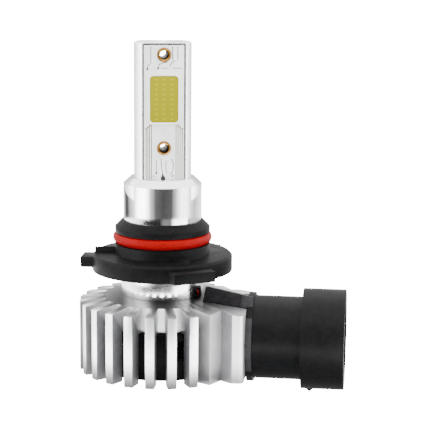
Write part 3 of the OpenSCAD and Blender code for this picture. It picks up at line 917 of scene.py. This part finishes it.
def eyelets(height):
    """The two rolled ends and the tube of one hollow rivet."""
    face = BOARD_FACE - 0.02
    profile = [
        (0.95, 0), (0.95, face + 0.1), (1.05, face + 0.27), (1.28, face + 0.34),
        (1.5, face + 0.27), (1.62, face + 0.1), (1.64, face), (1.15, face), (1.15, 0),
    ]
    half = lathe("eyelet_master", profile, 64)
    lay = FRONT @ Matrix.Translation((0, 0, height * MM)) @ Matrix.Rotation(
        math.radians(90), 4, "X"
    )
    half.data.transform(lay)
    piece = ring_of("eyelets", half, 2, 0, 180, BRASS)
    return soften(piece)


def in_bore(face):
    """Whether a face is inside a rivet's hole."""
    aside = face.center.dot(FRONT @ Vector((1, 0, 0)))
    up = min((face.center.z - z * MM for z in RIVET_Z), key=abs)
    return math.hypot(aside, up) < 1.02 * MM


rivets = stand_for(
    join("board_eyelets", [eyelets(z) for z in RIVET_Z]), "lamp", "rivet_brass", BRASS,
    "board_rivets",
)
# painted shade inside the rivets' holes
repaint(rivets, BORE_SHADE, in_bore)


# painted shade: a thin black outline round each board, standing in for the shadow in the gap
GAP_SHADE = plain_finish("painted_gap_shade", "1a1a1c", "2a2a2c", 0.6, 0.2, specular=0.1)


def gap_shade_strips():
    """Dark strips that fill the gap between each board and its pocket: painted shade, where the gap
    lies in shadow.
    """
    low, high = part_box("led_board_front")[0][2] / MM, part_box("led_board_front")[1][2] / MM
    half = 4.55
    gap = 0.2
    face = BOARD_FACE - 0.08
    strips = []
    for name, x0, x1, z0, z1 in (
        ("left", -half - gap, -half, low, high + gap),
        ("right", half, half + gap, low, high + gap),
        ("top", -half, half, high, high + gap),
    ):
        outline = [(x0, -face), (x1, -face), (x1, -face + 0.8), (x0, -face + 0.8)]
        strips.append(prism("seal_" + name, outline, z0, z1, FRONT))
    return ring_of("board_edge_paste", join("paste", strips), 2, 0, 180, GAP_SHADE)


stand_for(gap_shade_strips(), "lamp", "black_rubber", GAP_SHADE)

# fine warm lines beside the light field
TRACK_GOLD = plain_finish("gold_plating", "7a5a22", "94702e", 0.3, 0.3, metal=1.0)
# dark lines and marks at both ends of the board
TRACK_DARK = plain_finish("dark_track", "2a2a2c", "3c3a38", 0.5, 0.3, specular=0.1)
LIFT = 0.012


def strip(shape, points, width):
    """Flat band along points on the board, a hair above it."""
    y = -(BOARD_FACE + LIFT) * MM
    left, right = [], []
    for i, point in enumerate(points):
        before = Vector(points[max(i - 1, 0)])
        after = Vector(points[min(i + 1, len(points) - 1)])
        way = (after - before).normalized()
        side = Vector((-way.y, way.x)) * width / 2
        here = Vector(point)
        for corners, sign in ((left, 1), (right, -1)):
            corner = here + side * sign
            corners.append((corner.x * MM, y, corner.y * MM))
    verts = [[shape.verts.new(c) for c in row] for row in (left, right)]
    for i in range(len(points) - 1):
        shape.faces.new([verts[0][i], verts[1][i], verts[1][i + 1], verts[0][i + 1]])


def dot(shape, x, z, radius, sides=20):
    y = -(BOARD_FACE + LIFT) * MM
    shape.faces.new([
        shape.verts.new((
            (x + radius * math.cos(2 * math.pi * i / sides)) * MM, y,
            (z + radius * math.sin(2 * math.pi * i / sides)) * MM,
        )) for i in range(sides)
    ])


def artwork(name, material, slot, draw):
    """Front and rear copies of a drawing on the board."""
    shape = bmesh.new()
    draw(shape)
    for face in shape.faces:
        face.normal_update()
        if face.normal.y > 0:
            face.normal_flip()
    bmesh.ops.transform(shape, matrix=FRONT, verts=shape.verts)
    mesh = bpy.data.meshes.new(name)
    shape.to_mesh(mesh)
    shape.free()
    piece = ring_of(name, link(name + "_master", mesh), 2, 0, 180, material)
    return stand_for(piece, "lamp", slot, material)


def draw_dark(shape):
    strip(shape, [(-2.98, 48.2), (-2.98, 44.5), (-3.75, 43.7), (-3.8, 43.2)], 0.17)
    strip(shape, [(1.9, 48.2), (1.9, 45.2)], 0.17)
    strip(shape, [(3.1, 48.2), (3.1, 45.2)], 0.17)
    strip(shape, [(2.4, 45.1), (1.2, 43.8)], 0.17)
    strip(shape, [(0.8, 44.7), (-0.2, 44.5), (-1.1, 44.1), (-1.35, 43.4)], 0.17)
    strip(shape, [(-0.8, 43.3), (0.8, 43.3)], 0.15)
    strip(shape, [(2.0, 43.3), (4.1, 43.3)], 0.15)
    strip(shape, [(-1.76, 22.3), (-1.76, 19.6)], 0.17)
    strip(shape, [(-0.67, 22.7), (-0.5, 20.6), (-0.27, 19.0)], 0.17)
    strip(shape, [(0.49, 22.3), (0.45, 19.9), (0.8, 19.4)], 0.17)
    strip(shape, [(1.63, 22.7), (2.17, 21.6), (2.1, 20.1), (1.49, 18.9)], 0.17)
    for x, z in ((-3.8, 43.1), (-1.35, 43.3), (-1.76, 19.4), (-0.27, 18.9)):
        dot(shape, x, z, 0.24)
    # polarity marks
    strip(shape, [(-2.6, 18.7), (-1.9, 18.7)], 0.16)
    strip(shape, [(1.7, 18.7), (2.4, 18.7)], 0.16)
    strip(shape, [(2.05, 18.36), (2.05, 19.04)], 0.16)
    dot(shape, -0.2, 18.2, 0.55)


def draw_gold(shape):
    for side, first, last in ((-1, 2.85, 4.05), (1, 2.75, 4.15)):
        for i in range(4):
            x = side * (first + (last - first) * i / 3)
            strip(shape, [(x, 30.6 - 0.35 * i), (x, 18.05)], 0.17)
            dot(shape, x, 30.6 - 0.35 * i, 0.2)


artwork("board_marks", TRACK_DARK, "solder_mask", draw_dark)
artwork("board_tracks", TRACK_GOLD, "rivet_brass", draw_gold)

# ---------------------------------------------------------------- what stays as CAD made it

for node_name, body_node in frame["nodes"].items():
    if not body_node.hide_render:
        paint(body_node, FINISHES[SLOT_OF[node_name]])
